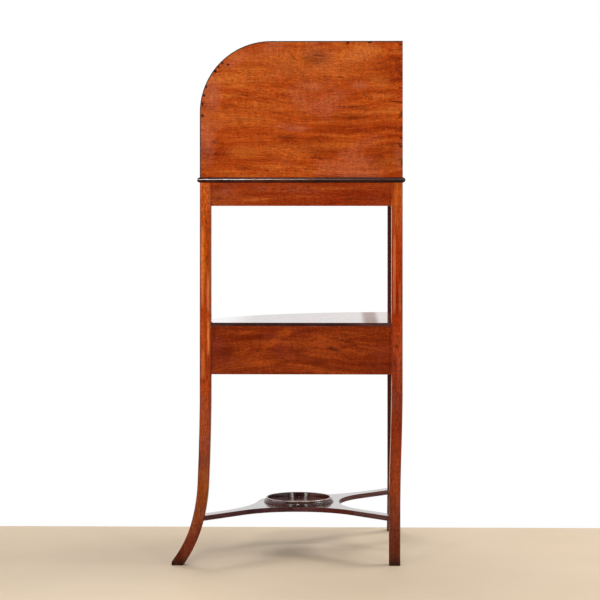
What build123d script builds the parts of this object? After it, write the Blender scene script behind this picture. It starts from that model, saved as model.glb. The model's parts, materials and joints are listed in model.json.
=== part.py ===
from build123d import *
import math
import os

os.makedirs("parts", exist_ok=True)

# Corner washstand in millimetres, +Z up. The bow front faces -Y and the room's corner lies at +Y.
# Pieces are laid out from the back corner: the left side runs along +X and the right side along +Y,
# and the whole stand is turned into place at the end.

# Carcass
side = 430  # each straight back side, over the legs
leg = 24  # square section of the legs
leg_arris = 1.2  # taken off the long corners of the legs
top_surface = 823  # height of the upper face of the top board
top_thickness = 11
bow_setback = 2  # bow front behind the rim of the top board
rail_setback = 0.5  # side rails behind the faces of the legs
rail_thickness = 13
bow_thickness = 14
frieze_depth = 49.5
shelf_surface = 515
shelf_thickness = 7
lipping = 2.5  # dark strip round the edge of the shelf
apron_depth = 102.5

# Outswept front feet, as heights where each bend ends and the slope reached there, in degrees
bend_start = 400
ankle_height = 174
ankle_slope = 2.5
foot_height = 90
foot_slope = 15
floor_slope = 38
toe_reach = 60  # the toe is cut off upright this far out from the back side

# Slight set of the back leg towards the front
back_bend_top = 400
back_bend_bottom = 95
back_shift = 5  # moved by this much from each back side

# Mortise and tenon joints
tenon_length = 12
tenon_thickness = 6
tenon_shoulder = 6
bow_rail_shoulder = 3
mortise_spare = 0.5  # room left past the end of a tenon

# Splashback panels joined by through dovetails
splash_height = 289
splash_thickness = 8.5
splash_corner = 151  # radius of the rounded front corner
string_width = 2  # dark string on the edge of the panels
pin_count = 9
first_pin = 8.5  # centre of the top pin below the top of the panel
last_pin = 37.3  # centre of the bottom pin above the top board
pin_narrow = 1.6
pin_wide = 4.8

# Holes in the top board
basin_radius = 120
basin_centre = 192  # from each back side
cup_radius = 38
cup_far = 345
cup_near = 80

# Screws up through the top board into the panels
screw_radius = 1.8
screw_head = 3.6
screw_grip = 22  # length inside the panel
screw_first = 60
screw_last_inset = 80
screw_count = 2

# Glue blocks
block_leg = 14
block_length = 34
block_near = 130
block_far = 290
bow_block_angle = 22
bow_block_span = 5
shelf_block_near = 250
shelf_block_far = 345

# Bow front of the lower tier
bow_rail_depth = 26
bow_rail_height = 12
drawer_half = 112
drawer_gap = 0.5
divider_thickness = 12
divider_depth = 28
drawer_front_gap = 0.8  # above and below the drawer front
cockbead_width = 3
cockbead_depth = 6
cockbead_proud = 1.4

# Drawer box
drawer_front_thickness = 16
drawer_side_thickness = 8
drawer_side_lap = 6
drawer_side_height = 72
drawer_back_place = 155  # from the back corner along the middle line
drawer_back_height = 62
drawer_bottom_thickness = 5
drawer_bottom_rise = 7
drawer_groove = 3
groove_spare = 0.4  # room at the front edge of the drawer bottom
running_gap = 0.3
side_tail_count = 3
side_tail_slope_share = 0.16
side_tail_gap_share = 0.35

# Runners and stops
runner_inside = 98
guide_height = 14
stop_height = 5
stop_length = 30
stop_depth = 9
stop_place = 42

# Turned brass knobs
knob_reach = 19
knob_head = 10.5
knob_neck = 4
knob_rose = 8.5
knob_rose_thickness = 2
knob_face = 6.5  # flat middle of the head
knob_slope = 3.2  # from the flat middle back to the rim
shank_radius = 2.2
shank_gap = 0.1
nut_width = 11
nut_thickness = 2.6
nut_seat = 0.1

# Stretcher and jug ring
platform_centre = 225.5  # from each back side
platform_radius = 90
arm_width = 26.5
side_blend = 160  # hollow curves that face the two back sides
bow_blend = 250  # hollow curves that face the bow
root_slack = 0.9  # how near the platform's rim a corner of the outline counts as the root of an arm
stretcher_surface = 104.5
stretcher_thickness = 10.5
arm_tenon_width = 14
arm_tenon_length = 13
tongue_length = 15
tongue_thickness = 3
arm_joint_past = 4
ring_height = 10.3
ring_inside = 68
ring_base = 78
ring_rim = 71.5
ring_foot = 1.6

overrun = 2  # cuts run past the faces by this much

# Heights and radii that follow
leg_top = top_surface - top_thickness
frieze_bottom = leg_top - frieze_depth
shelf_underside = shelf_surface - shelf_thickness
apron_bottom = shelf_underside - apron_depth
bow_radius = side - bow_setback
bead_radius = top_thickness / 2
bead_centre = leg_top + bead_radius
splash_top = top_surface + splash_height
drawer_floor = apron_bottom + bow_rail_height
rail_inside = rail_setback + rail_thickness
bow_inside = bow_radius - bow_thickness
front_reach = bow_radius + knob_reach
back_reach = bead_radius * math.sqrt(2)
corner_y = (front_reach - back_reach) / 2

mirror_plane = Plane(origin=(0, 0, 0), x_dir=(1, 1, 0), z_dir=(1, -1, 0))
diagonal = Rot(0, 0, 45)  # turns a piece laid along X onto the middle line of the stand


def block(x, y, z):
    """Box between the pairs of limits given on each axis."""
    corner = (min(x), min(y), min(z))
    size = (abs(x[1] - x[0]), abs(y[1] - y[0]), abs(z[1] - z[0]))
    return Pos(*corner) * Box(*size, align=(Align.MIN, Align.MIN, Align.MIN))


def other_side(piece):
    """The same piece on the other side of the stand."""
    return mirror(piece, about=mirror_plane)


def upright(wire_or_face, y):
    """Stand an XY drawing up in the XZ plane at a distance y from the left face."""
    return Plane(origin=(0, y, 0), x_dir=(1, 0, 0), z_dir=(0, -1, 0)) * wire_or_face


def quarter_ring(inner, outer, z_low, z_high, inset=0):
    """Quarter of a ring about the back corner, kept an inset away from both back faces."""
    section = Circle(outer)
    if inner > 0:
        section -= Circle(inner)
    section &= Pos(inset, inset) * Rectangle(outer, outer, align=(Align.MIN, Align.MIN))
    return Pos(0, 0, z_low) * extrude(section, z_high - z_low)


# Front legs
gentle = math.radians(ankle_slope)
steep = math.radians(foot_slope)
last = math.radians(floor_slope)
gentle_radius = (bend_start - ankle_height) / math.sin(gentle)
ankle_radius = (ankle_height - foot_height) / (math.sin(steep) - math.sin(gentle))
foot_radius = foot_height / (math.sin(last) - math.sin(steep))


def leg_section(start, x_dir):
    """Square across the top of a leg, its corners taken off."""
    square = Rectangle(leg, leg)
    return Plane(origin=start, x_dir=x_dir, z_dir=(0, 0, -1)) * chamfer(square.vertices(), leg_arris)


def make_front_leg():
    """Left front leg, straight above and swept outwards below."""
    centre = side - leg / 2
    with BuildLine() as line:
        straight = Line((centre, leg_top), (centre, bend_start))
        thigh = JernArc(straight @ 1, (0, -1), gentle_radius, ankle_slope)
        ankle = JernArc(thigh @ 1, thigh % 1, ankle_radius, foot_slope - ankle_slope)
        foot = JernArc(ankle @ 1, ankle % 1, foot_radius, floor_slope - foot_slope)
        Line(foot @ 1, foot @ 1 + (foot % 1) * leg)
    path = upright(line.wire(), leg / 2)
    body = sweep(leg_section((centre, leg / 2, leg_top), (1, 0, 0)), path=path)
    body = split(body, bisect_by=Plane.XY, keep=Keep.TOP)
    return split(body, bisect_by=Plane.YZ.offset(side + toe_reach), keep=Keep.BOTTOM)


def foot_offset(z):
    """How far the centre of a front leg has swept out at a height between foot and ankle."""
    slope = math.asin(math.sin(gentle) + (ankle_height - z) / ankle_radius)
    thigh_offset = gentle_radius * (1 - math.cos(gentle))
    return thigh_offset + ankle_radius * (math.cos(gentle) - math.cos(slope))


def make_back_leg():
    """Back corner leg, set a little towards the front below."""
    half_height = (back_bend_top - back_bend_bottom) / 2
    half_shift = back_shift * math.sqrt(2) / 2
    turn = 2 * math.atan2(half_shift, half_height)
    bend_radius = half_height / math.sin(turn)
    centre = leg / 2 * math.sqrt(2)
    with BuildLine() as line:
        above = Line((centre, leg_top), (centre, back_bend_top))
        out = JernArc(above @ 1, (0, -1), bend_radius, math.degrees(turn))
        back = JernArc(out @ 1, out % 1, bend_radius, -math.degrees(turn))
        Line(back @ 1, ((back @ 1).X, 0))
    path = diagonal * upright(line.wire(), 0)
    return sweep(leg_section((leg / 2, leg / 2, leg_top), (1, 0, 0)), path=path)


# Rails tenoned into the legs
def side_tenons(z_low, z_high, length):
    """Tenons at both ends of a left rail."""
    across = (rail_inside / 2 - tenon_thickness / 2, rail_inside / 2 + tenon_thickness / 2)
    up = (z_low + tenon_shoulder, z_high - tenon_shoulder)
    near = block((leg - length, leg), across, up)
    far = block((side - leg, side - leg + length), across, up)
    return near + far


def side_rail(z_low, z_high):
    """Left rail with its tenons."""
    board = block((leg, side - leg), (rail_setback, rail_inside), (z_low, z_high))
    return board + side_tenons(z_low, z_high, tenon_length)


def bow_tenon(radius, z_low, z_high, shoulder, length):
    """Tenon of a curved rail in the left front leg."""
    middle = math.sqrt(radius**2 - leg**2)
    across = (middle - tenon_thickness / 2, middle + tenon_thickness / 2)
    return block(across, (leg - length, leg), (z_low + shoulder, z_high - shoulder))


def bow_tenons(radius, z_low, z_high, shoulder, length):
    """Tenons at both ends of a curved rail."""
    one = bow_tenon(radius, z_low, z_high, shoulder, length)
    return one + other_side(one)


frieze_middle = bow_radius - bow_thickness / 2
mortise_length = tenon_length + mortise_spare

frieze_left = side_rail(frieze_bottom, leg_top)
frieze_right = other_side(frieze_left)
apron_left = side_rail(apron_bottom, shelf_underside)
apron_right = other_side(apron_left)

frieze_bow = quarter_ring(bow_inside, bow_radius, frieze_bottom, leg_top, leg)
frieze_bow += bow_tenons(frieze_middle, frieze_bottom, leg_top, tenon_shoulder, tenon_length)

bow_rail = quarter_ring(bow_radius - bow_rail_depth, bow_radius, apron_bottom, drawer_floor, leg)
bow_rail += bow_tenons(frieze_middle, apron_bottom, drawer_floor, bow_rail_shoulder, tenon_length)

# Stretcher: a round platform with an arm to each leg
stretcher_bottom = stretcher_surface - stretcher_thickness
stretcher_middle = stretcher_surface - stretcher_thickness / 2
front_leg_place = (side - leg / 2 + foot_offset(stretcher_middle), leg / 2)
back_leg_place = (leg / 2 + back_shift, leg / 2 + back_shift)
platform_place = Pos(platform_centre, platform_centre)


def arm_way(place):
    """Length and angle of the arm that runs from the platform's centre to a leg."""
    dx = place[0] - platform_centre
    dy = place[1] - platform_centre
    return math.hypot(dx, dy), math.degrees(math.atan2(dy, dx))


def arm_outline(place):
    """Plain strip from the platform's centre to the centre of a leg."""
    length, angle = arm_way(place)
    strip = Rectangle(length, arm_width, align=(Align.MIN, Align.CENTER))
    return platform_place * Rot(0, 0, angle) * strip


def arm_tenon(place, extra):
    """Tenon on the end of an arm, reaching into the corner of the leg."""
    length, angle = arm_way(place)
    start = length - leg / 2 * math.sqrt(2) - leg_arris
    reach = arm_tenon_length + leg_arris + extra
    z = (stretcher_bottom, stretcher_surface)
    tenon = block((start, start + reach), (-arm_tenon_width / 2, arm_tenon_width / 2), z)
    return platform_place * Rot(0, 0, angle) * tenon


left_front_place = front_leg_place
right_front_place = (front_leg_place[1], front_leg_place[0])
leg_places = (left_front_place, right_front_place, back_leg_place)


def is_root(vertex):
    """True for a corner of the outline where an arm meets the rim of the platform."""
    reach = math.hypot(vertex.X - platform_centre, vertex.Y - platform_centre)
    return abs(reach - platform_radius) < root_slack


def faces_bow(vertex):
    """True on the side of the platform that faces the bow."""
    return vertex.X + vertex.Y > 2 * platform_centre


outline = platform_place * Circle(platform_radius)
for place in leg_places:
    outline += arm_outline(place)
outline = fillet([v for v in outline.vertices() if is_root(v) and faces_bow(v)], bow_blend)
outline = fillet([v for v in outline.vertices() if is_root(v) and not faces_bow(v)], side_blend)
stretcher = Pos(0, 0, stretcher_bottom) * extrude(outline, stretcher_thickness)

plain_left_leg = make_front_leg()
plain_right_leg = other_side(plain_left_leg)
plain_back_leg = make_back_leg()
stretcher = stretcher - plain_left_leg - plain_right_leg - plain_back_leg
for place in leg_places:
    stretcher += arm_tenon(place, 0)

# The back arm is its own piece, with a tongue in the platform board
blend_end = math.sqrt((platform_radius + side_blend) ** 2 - (arm_width / 2 + side_blend) ** 2)
joint_at = blend_end + arm_joint_past
arm_length, arm_angle = arm_way(back_leg_place)
arm_frame = platform_place * Rot(0, 0, arm_angle)
tongue = arm_frame * block(
    (joint_at - tongue_length, joint_at),
    (-arm_tenon_width / 2, arm_tenon_width / 2),
    (stretcher_middle - tongue_thickness / 2, stretcher_middle + tongue_thickness / 2),
)
arm_region = arm_frame * block((joint_at, arm_length + leg), (-leg, leg), (0, stretcher_surface + leg))
stretcher_arm = (stretcher & arm_region) + tongue
stretcher_board = stretcher - arm_region - tongue

with BuildSketch(Plane.XZ) as ring_sketch:
    with BuildLine():
        floor_line = Line((ring_inside, 0), (ring_base, 0))
        foot_line = Line(floor_line @ 1, (ring_base, ring_foot))
        slope_line = Line(foot_line @ 1, (ring_rim, ring_height))
        rim_line = Line(slope_line @ 1, (ring_inside, ring_height))
        Line(rim_line @ 1, floor_line @ 0)
    make_face()
jug_ring = Pos(platform_centre, platform_centre, stretcher_surface) * revolve(ring_sketch.sketch, axis=Axis.Z)

# Legs with their mortises
left_leg_cuts = [
    side_tenons(frieze_bottom, leg_top, mortise_length),
    side_tenons(apron_bottom, shelf_underside, mortise_length),
    bow_tenon(frieze_middle, frieze_bottom, leg_top, tenon_shoulder, mortise_length),
    bow_tenon(frieze_middle, apron_bottom, drawer_floor, bow_rail_shoulder, mortise_length),
    arm_tenon(left_front_place, mortise_spare),
]
front_leg_left = plain_left_leg
for cut in left_leg_cuts:
    front_leg_left -= cut
front_leg_right = other_side(front_leg_left)

back_leg = plain_back_leg - arm_tenon(back_leg_place, mortise_spare)
for z_pair in ((frieze_bottom, leg_top), (apron_bottom, shelf_underside)):
    socket = side_tenons(z_pair[0], z_pair[1], mortise_length)
    back_leg = back_leg - socket - other_side(socket)

# Top board with holes for the basin and two cups
cup_places = ((cup_far, cup_near), (cup_near, cup_far))
top_board = quarter_ring(0, side, leg_top, top_surface)
top_board -= Pos(basin_centre, basin_centre, bead_centre) * Cylinder(basin_radius, top_thickness + overrun)
for place in cup_places:
    top_board -= Pos(*place, bead_centre) * Cylinder(cup_radius, top_thickness + overrun)


# Half round bead, mitred at the corners
def bead_profile(at):
    """Half round section standing outwards from X = at."""
    half = Circle(bead_radius) & Rectangle(bead_radius, top_thickness, align=(Align.MIN, Align.CENTER))
    return Pos(at, bead_centre) * half


front_mitre = Plane(origin=(side, 0, 0), z_dir=(1, 1, 0))
straight_section = Plane(origin=(-bead_radius, 0, 0), x_dir=(0, -1, 0), z_dir=(-1, 0, 0)) * bead_profile(0)
top_bead_left = extrude(straight_section, side + top_thickness, dir=(1, 0, 0))
top_bead_left = split(top_bead_left, bisect_by=mirror_plane, keep=Keep.TOP)
top_bead_left = split(top_bead_left, bisect_by=front_mitre, keep=Keep.BOTTOM)
top_bead_right = other_side(top_bead_left)

bow_bead_face = upright(bead_profile(side), 0)
top_bead_bow = revolve(bow_bead_face, axis=Axis.Z, revolution_arc=90)
bead_stub = split(extrude(bow_bead_face, bead_radius, dir=(0, -1, 0)), bisect_by=front_mitre, keep=Keep.TOP)
top_bead_bow = top_bead_bow + bead_stub + other_side(bead_stub)


# Splashback
def panel_outline(inset):
    """Panel seen from the left side, with its front corner rounded."""
    wide = side - inset
    high = splash_height - inset
    radius = splash_corner - inset
    with BuildSketch() as sketch:
        with BuildLine():
            bottom = Line((0, top_surface), (wide, top_surface))
            front = Line(bottom @ 1, (wide, top_surface + high - radius))
            arc = JernArc(front @ 1, (0, 1), radius, 90)
            top = Line(arc @ 1, (0, top_surface + high))
            Line(top @ 1, bottom @ 0)
        make_face()
    return sketch.sketch


full_panel = extrude(upright(panel_outline(0), 0), splash_thickness, dir=(0, 1, 0))
wood_panel = extrude(upright(panel_outline(string_width), 0), splash_thickness, dir=(0, 1, 0))
splash_string_left = split(full_panel - wood_panel, bisect_by=mirror_plane, keep=Keep.TOP)
splash_string_right = other_side(splash_string_left)

pin_profile = Polygon(
    (0, -pin_narrow / 2),
    (splash_thickness, -pin_wide / 2),
    (splash_thickness, pin_wide / 2),
    (0, pin_narrow / 2),
    align=None,
)
one_pin = extrude(Plane.YZ * pin_profile, splash_thickness)
pin_pitch = (splash_height - first_pin - last_pin) / (pin_count - 1)
pins = [Pos(0, 0, splash_top - first_pin - n * pin_pitch) * one_pin for n in range(pin_count)]

column = block((-overrun, splash_thickness), (-overrun, splash_thickness), (0, splash_top + overrun))
splash_left = wood_panel - column
splash_right = other_side(wood_panel)
for pin in pins:
    splash_left += pin
    splash_right -= pin


# Countersunk screws from below the top board into the panels
def make_screw():
    """Screw pointing up, its head flush with Z = 0."""
    cone = screw_head - screw_radius
    head = Pos(0, 0, cone / 2) * Cone(screw_head, screw_radius, cone)
    shank_top = top_thickness + screw_grip
    shank = Pos(0, 0, cone) * extrude(Circle(screw_radius), shank_top - cone)
    return head + shank


screw = make_screw()
screw_step = (side - screw_first - screw_last_inset) / (screw_count - 1)
splash_screws = []
for n in range(screw_count):
    at = Pos(screw_first + n * screw_step, splash_thickness / 2, leg_top)
    splash_screws += [at * screw, other_side(at * screw)]
    top_board = top_board - at * screw - other_side(at * screw)
    splash_left -= at * screw
    splash_right -= other_side(at * screw)


# Glue blocks under the boards
def straight_block(at, z):
    """Three sided block in the corner between the left rail and a board above it."""
    shape = Polygon((0, 0), (block_leg, 0), (0, -block_leg), align=None)
    bar = extrude(Plane(origin=(0, 0, 0), x_dir=(0, 1, 0), z_dir=(1, 0, 0)) * shape, block_length)
    return Pos(at - block_length / 2, rail_inside, z) * bar


def bow_block(angle, z):
    """The same block, curved to the inside of the bow."""
    shape = Polygon((bow_inside, z), (bow_inside - block_leg, z), (bow_inside, z - block_leg), align=None)
    bar = revolve(upright(shape, 0), axis=Axis.Z, revolution_arc=bow_block_span)
    return Rot(0, 0, angle - bow_block_span / 2) * bar


top_blocks = [straight_block(at, leg_top) for at in (block_near, block_far)]
top_blocks += [other_side(b) for b in top_blocks]
top_blocks += [bow_block(bow_block_angle, leg_top), bow_block(90 - bow_block_angle, leg_top)]
shelf_blocks = [straight_block(at, shelf_underside) for at in (shelf_block_near, shelf_block_far)]
shelf_blocks += [other_side(b) for b in shelf_blocks]

# Shelf with a dark lipping between the legs
shelf_whole = quarter_ring(0, bow_radius, shelf_underside, shelf_surface, rail_setback)
shelf_core = quarter_ring(0, bow_radius - lipping, shelf_underside, shelf_surface, rail_setback + lipping)
leg_square = block((-overrun, leg), (-overrun, leg), (shelf_underside - overrun, shelf_surface + overrun))
notches = [leg_square, Pos(side - leg, 0, 0) * leg_square, Pos(0, side - leg, 0) * leg_square]
edge_limits = (shelf_underside, shelf_surface)
shelf_board = shelf_core
shelf_edge_bow = quarter_ring(bow_radius - lipping, bow_radius, *edge_limits, rail_setback)
for notch in notches:
    shelf_board -= notch
    shelf_edge_bow -= notch
shelf_edge_left = block((leg, side - leg), (rail_setback, rail_setback + lipping), edge_limits)
shelf_edge_right = other_side(shelf_edge_left)

# Bow front of the lower tier: two dummy drawer fronts beside one real drawer
divider_inside = drawer_half + drawer_gap
divider_outside = divider_inside + divider_thickness
front_limits = (drawer_floor, shelf_underside)


def front_board(inner, outer, inset):
    """Left dummy front between the leg and the divider, drawn in by an inset all round."""
    board = quarter_ring(inner, outer, drawer_floor + inset, shelf_underside - inset)
    leg_side = block((0, side + leg), (leg + inset, side + leg), (0, top_surface))
    across = (-side - leg, -divider_outside - inset)
    divider_side = diagonal * block((0, side + leg), across, (0, top_surface))
    return board & leg_side & divider_side


def drawer_board(inner, outer, inset):
    """Middle drawer front, drawn in by an inset all round."""
    low = drawer_floor + drawer_front_gap + inset
    high = shelf_underside - drawer_front_gap - inset
    board = quarter_ring(inner, outer, low, high)
    half = drawer_half - inset
    return board & (diagonal * block((0, side + leg), (-half, half), (0, top_surface)))


def with_cockbead(shape, inner):
    """Split a curved front into its board and the raised bead let in round its edge."""
    deep = bow_radius - cockbead_depth
    proud = bow_radius + cockbead_proud
    ring = shape(deep, proud, 0) - shape(deep - overrun, proud + overrun, cockbead_width)
    board = shape(inner, bow_radius, 0) - shape(deep, proud + overrun, 0)
    board += shape(deep, bow_radius, cockbead_width)
    return board, ring


dummy_front_left, dummy_cockbead_left = with_cockbead(front_board, bow_inside)
drawer_front, drawer_cockbead = with_cockbead(drawer_board, bow_radius - drawer_front_thickness)

divider_ring = quarter_ring(bow_radius - divider_depth, bow_radius, *front_limits)
divider_strip = diagonal * block((0, side + leg), (-divider_outside, -divider_inside), (0, top_surface))
divider_left = divider_ring & divider_strip
divider_right = other_side(divider_left)


# Turned knobs with square nuts
def make_knob(front_thickness):
    """Knob pointing along X, its rose on X = 0, with a threaded shank behind."""
    shank_end = -front_thickness - nut_thickness * 2
    with BuildSketch() as sketch:
        with BuildLine():
            axis_line = Line((shank_end, 0), (knob_reach, 0))
            face = Line(axis_line @ 1, (knob_reach, knob_face))
            slope = Line(face @ 1, (knob_reach - knob_slope, knob_head))
            cup = Line(slope @ 1, (knob_reach / 2, knob_neck))
            neck = Line(cup @ 1, (knob_rose_thickness, knob_neck))
            rose = Line(neck @ 1, (0, knob_rose))
            under = Line(rose @ 1, (0, shank_radius))
            shank = Line(under @ 1, (shank_end, shank_radius))
            Line(shank @ 1, axis_line @ 0)
        make_face()
    return revolve(sketch.sketch, axis=Axis.X)


def make_nut(front_thickness):
    """Square nut against the inside of a curved front."""
    plate = block(
        (-front_thickness - nut_thickness - nut_seat, -front_thickness - nut_seat),
        (-nut_width / 2, nut_width / 2),
        (-nut_width / 2, nut_width / 2),
    )
    return plate - nut_hole(front_thickness)


def nut_hole(front_thickness):
    """Clear hole for a knob's shank."""
    length = front_thickness + nut_thickness * 3
    return Pos(-length / 2, 0, 0) * Rot(0, 90, 0) * Cylinder(shank_radius + shank_gap, length + overrun)


knob_height = (drawer_floor + shelf_underside) / 2
leg_edge = math.degrees(math.asin(leg / bow_radius))
divider_edge = 45 - math.degrees(math.asin(divider_outside / bow_radius))
dummy_angle = (leg_edge + divider_edge) / 2


def on_bow(piece, angle):
    """Put a knob, nut or hole on the bow at an angle from the left side."""
    return Rot(0, 0, angle) * Pos(bow_radius, 0, knob_height) * piece


drawer_knob = on_bow(make_knob(drawer_front_thickness), 45)
drawer_knob_nut = on_bow(make_nut(drawer_front_thickness), 45)
drawer_front -= on_bow(nut_hole(drawer_front_thickness), 45)
dummy_front_left -= on_bow(nut_hole(bow_thickness), dummy_angle)
dummy_front_right = other_side(dummy_front_left)
dummy_cockbead_right = other_side(dummy_cockbead_left)
one_knob = on_bow(make_knob(bow_thickness), dummy_angle)
one_nut = on_bow(make_nut(bow_thickness), dummy_angle)
dummy_knobs = [one_knob, other_side(one_knob)]
dummy_knob_nuts = [one_nut, other_side(one_nut)]

# Drawer box, laid along the middle line with its width across Y
side_low = drawer_floor + running_gap
side_high = side_low + drawer_side_height
bottom_low = side_low + drawer_bottom_rise
bottom_high = bottom_low + drawer_bottom_thickness
inner_radius = bow_radius - drawer_front_thickness
side_inside = drawer_half - drawer_side_thickness
lap_end = math.sqrt(inner_radius**2 - side_inside**2) + drawer_side_lap
whole_side = block((drawer_back_place, lap_end), (side_inside, drawer_half), (side_low, side_high))
front_body = diagonal.inverse() * drawer_front
bottom_half = side_inside + drawer_groove
bottom_board = block((drawer_back_place, side), (-bottom_half, bottom_half), (bottom_low, bottom_high))


def bow_disc(radius):
    """Disc about the back corner, as thick as the drawer's bottom."""
    return Pos(0, 0, bottom_low) * extrude(Circle(radius), drawer_bottom_thickness)


bottom_groove = bottom_board & bow_disc(inner_radius + drawer_groove)
bottom_board &= bow_disc(inner_radius + drawer_groove - groove_spare)


def side_sockets():
    """Spaces between the lapped dovetails on the front end of a drawer side."""
    pitch = drawer_side_height / side_tail_count
    flare = drawer_side_lap * side_tail_slope_share
    half = pitch * side_tail_gap_share / 2
    spaces = []
    for n in range(side_tail_count + 1):
        z = side_low + n * pitch
        shape = Polygon(
            (lap_end - drawer_side_lap, z - half - flare),
            (lap_end + overrun, z - half),
            (lap_end + overrun, z + half),
            (lap_end - drawer_side_lap, z + half + flare),
            align=None,
        )
        across = drawer_side_thickness + overrun * 2
        spaces.append(extrude(upright(shape, side_inside - overrun), across, dir=(0, 1, 0)))
    return spaces


tailed_side = whole_side
for space in side_sockets():
    tailed_side -= space
front_body = front_body - tailed_side - mirror(tailed_side, Plane.XZ) - bottom_groove
tailed_side -= bottom_board
drawer_back_body = block(
    (drawer_back_place, drawer_back_place + drawer_side_thickness),
    (-side_inside, side_inside),
    (bottom_high, bottom_high + drawer_back_height),
)
drawer_front = diagonal * front_body
drawer_side_right = diagonal * tailed_side
drawer_side_left = other_side(drawer_side_right)
drawer_back = diagonal * drawer_back_body
drawer_bottom = diagonal * bottom_board

# Runners with guides, and the stops behind the drawer front
runner_base = block((0, side), (-divider_outside, -runner_inside), (apron_bottom, drawer_floor))
guide_limits = (drawer_floor, drawer_floor + guide_height)
runner_guide = block((0, side), (-divider_outside, -divider_inside), guide_limits)
inside_space = quarter_ring(0, bow_radius - bow_rail_depth, apron_bottom, shelf_underside, rail_inside)
guide_space = quarter_ring(0, bow_radius - divider_depth, drawer_floor, shelf_underside, rail_inside)
runner_left = (diagonal * runner_base & inside_space) + (diagonal * runner_guide & guide_space)
runner_right = other_side(runner_left)

stop_radius = inner_radius - running_gap
stop_ring = quarter_ring(stop_radius - stop_depth, stop_radius, drawer_floor, drawer_floor + stop_height)
stop_strip = block((0, side), (-stop_place - stop_length, -stop_place), (0, shelf_surface))
stop_left = stop_ring & (diagonal * stop_strip)
drawer_stops = [stop_left, other_side(stop_left)]

# Every node, moved from the corner layout to its place in the part's own frame
nodes = {
    "back_leg": back_leg,
    "front_leg_right": front_leg_right,
    "front_leg_left": front_leg_left,
    "top_board": top_board,
    "top_bead_right": top_bead_right,
    "top_bead_left": top_bead_left,
    "top_bead_bow": top_bead_bow,
    "splash_right": splash_right,
    "splash_left": splash_left,
    "splash_string_right": splash_string_right,
    "splash_string_left": splash_string_left,
    "splash_screws": splash_screws,
    "frieze_right": frieze_right,
    "frieze_left": frieze_left,
    "frieze_bow": frieze_bow,
    "top_glue_blocks": top_blocks,
    "shelf_board": shelf_board,
    "shelf_edge_right": shelf_edge_right,
    "shelf_edge_left": shelf_edge_left,
    "shelf_edge_bow": shelf_edge_bow,
    "shelf_glue_blocks": shelf_blocks,
    "apron_right": apron_right,
    "apron_left": apron_left,
    "bow_rail": bow_rail,
    "dummy_front_right": dummy_front_right,
    "dummy_front_left": dummy_front_left,
    "dummy_cockbead_right": dummy_cockbead_right,
    "dummy_cockbead_left": dummy_cockbead_left,
    "dummy_knobs": dummy_knobs,
    "dummy_knob_nuts": dummy_knob_nuts,
    "divider_right": divider_right,
    "divider_left": divider_left,
    "runner_right": runner_right,
    "runner_left": runner_left,
    "drawer_stops": drawer_stops,
    "stretcher_board": stretcher_board,
    "stretcher_arm": stretcher_arm,
    "jug_ring": jug_ring,
    "drawer_front": drawer_front,
    "drawer_cockbead": drawer_cockbead,
    "drawer_side_right": drawer_side_right,
    "drawer_side_left": drawer_side_left,
    "drawer_back": drawer_back,
    "drawer_bottom": drawer_bottom,
    "drawer_knob": drawer_knob,
    "drawer_knob_nut": drawer_knob_nut,
}

in_place = Location((0, corner_y, 0), (0, 0, 225))
for name, shape in nodes.items():
    solids = []
    for piece in shape if isinstance(shape, list) else [shape]:
        solids += (in_place * piece).solids()
    export_step(Compound(children=solids) if len(solids) > 1 else solids[0], f"parts/{name}.step")
    print(name, len(solids))
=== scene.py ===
import bpy
import bmesh
import json
import math
from mathutils import Matrix, Vector

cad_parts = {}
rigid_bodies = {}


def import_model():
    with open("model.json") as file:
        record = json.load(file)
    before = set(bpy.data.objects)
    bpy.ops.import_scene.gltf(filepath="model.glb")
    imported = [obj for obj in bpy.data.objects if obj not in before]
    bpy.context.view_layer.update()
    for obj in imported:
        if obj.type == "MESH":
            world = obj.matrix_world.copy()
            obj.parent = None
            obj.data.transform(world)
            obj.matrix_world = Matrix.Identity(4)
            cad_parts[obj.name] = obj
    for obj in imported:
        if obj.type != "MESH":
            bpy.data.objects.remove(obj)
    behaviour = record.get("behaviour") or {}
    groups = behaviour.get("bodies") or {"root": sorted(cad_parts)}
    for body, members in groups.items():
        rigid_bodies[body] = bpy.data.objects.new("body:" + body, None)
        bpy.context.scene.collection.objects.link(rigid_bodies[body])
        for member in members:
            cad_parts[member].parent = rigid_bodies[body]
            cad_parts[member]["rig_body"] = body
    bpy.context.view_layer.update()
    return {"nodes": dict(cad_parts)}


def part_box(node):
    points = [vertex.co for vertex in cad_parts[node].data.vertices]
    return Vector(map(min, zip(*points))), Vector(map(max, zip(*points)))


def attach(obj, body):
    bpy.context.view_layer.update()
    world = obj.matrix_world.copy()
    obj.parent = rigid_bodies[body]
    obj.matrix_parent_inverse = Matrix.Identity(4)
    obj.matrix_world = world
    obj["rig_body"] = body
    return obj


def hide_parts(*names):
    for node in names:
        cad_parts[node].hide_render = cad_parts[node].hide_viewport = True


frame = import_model()
cadNodes = frame["nodes"]
print("frame loaded,", len(cadNodes), "nodes")

# Metres throughout. Corner places are measured from the back corner of the stand:
# X along the left back side, Y along the right back side, Z up.
stand = {
    "cornerY": 0.219611,  # how far the back corner lies behind the middle
    "side": 0.430,
    "bowRadius": 0.428,
    "legTop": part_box("back_leg")[1].z,
}
cornerToStand = Matrix.Translation((0, stand["cornerY"], 0)) @ Matrix.Rotation(math.radians(225), 4, "Z")
diagonalPart = 1 / math.sqrt(2)
alongRight = (diagonalPart, -diagonalPart, 0)  # away from the back corner along the right side
alongLeft = (-diagonalPart, -diagonalPart, 0)
outOfRight = (diagonalPart, diagonalPart, 0)  # straight out of the right side
cornerShift = stand["cornerY"] * diagonalPart
rightShift = (cornerShift, 0, 0)  # brings the places on the right side to start at the back corner


# Shader helpers
def plug(tree, socket, value):
    if isinstance(value, bpy.types.NodeSocket):
        tree.links.new(value, socket)
    else:
        socket.default_value = value


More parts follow.
